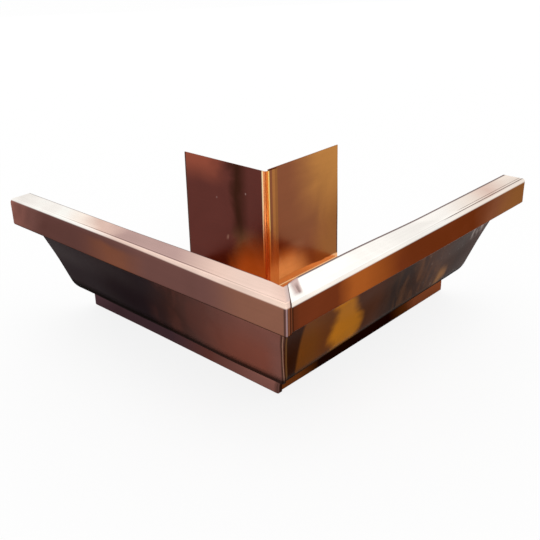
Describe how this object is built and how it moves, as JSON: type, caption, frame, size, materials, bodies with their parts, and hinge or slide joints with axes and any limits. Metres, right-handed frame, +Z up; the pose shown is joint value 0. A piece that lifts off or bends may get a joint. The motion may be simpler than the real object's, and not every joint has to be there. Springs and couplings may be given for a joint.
{
  "type": "gutter outside miter",
  "caption": "Right-angled outside corner for a K-style rain gutter: folded copper legs mitered at the front, lapped at the seam, open at the top and ends.",
  "frame": {"origin": "the house corner at the level of the gutter's underside, where the two fascia planes meet", "axes": "+Z up; the left leg runs towards +Y along the fascia plane x = 0 and faces -X; the right leg runs towards +X along the fascia plane y = 0 and faces -Y"},
  "size_m": [0.197, 0.197, 0.0825],
  "materials": {
    "left_copper": "bright mill copper",
    "right_copper": "bright mill copper"
  },
  "bodies": {
    "root": {"left_sheet": "left_copper", "right_sheet": "right_copper"}
  },
  "joints": []
}
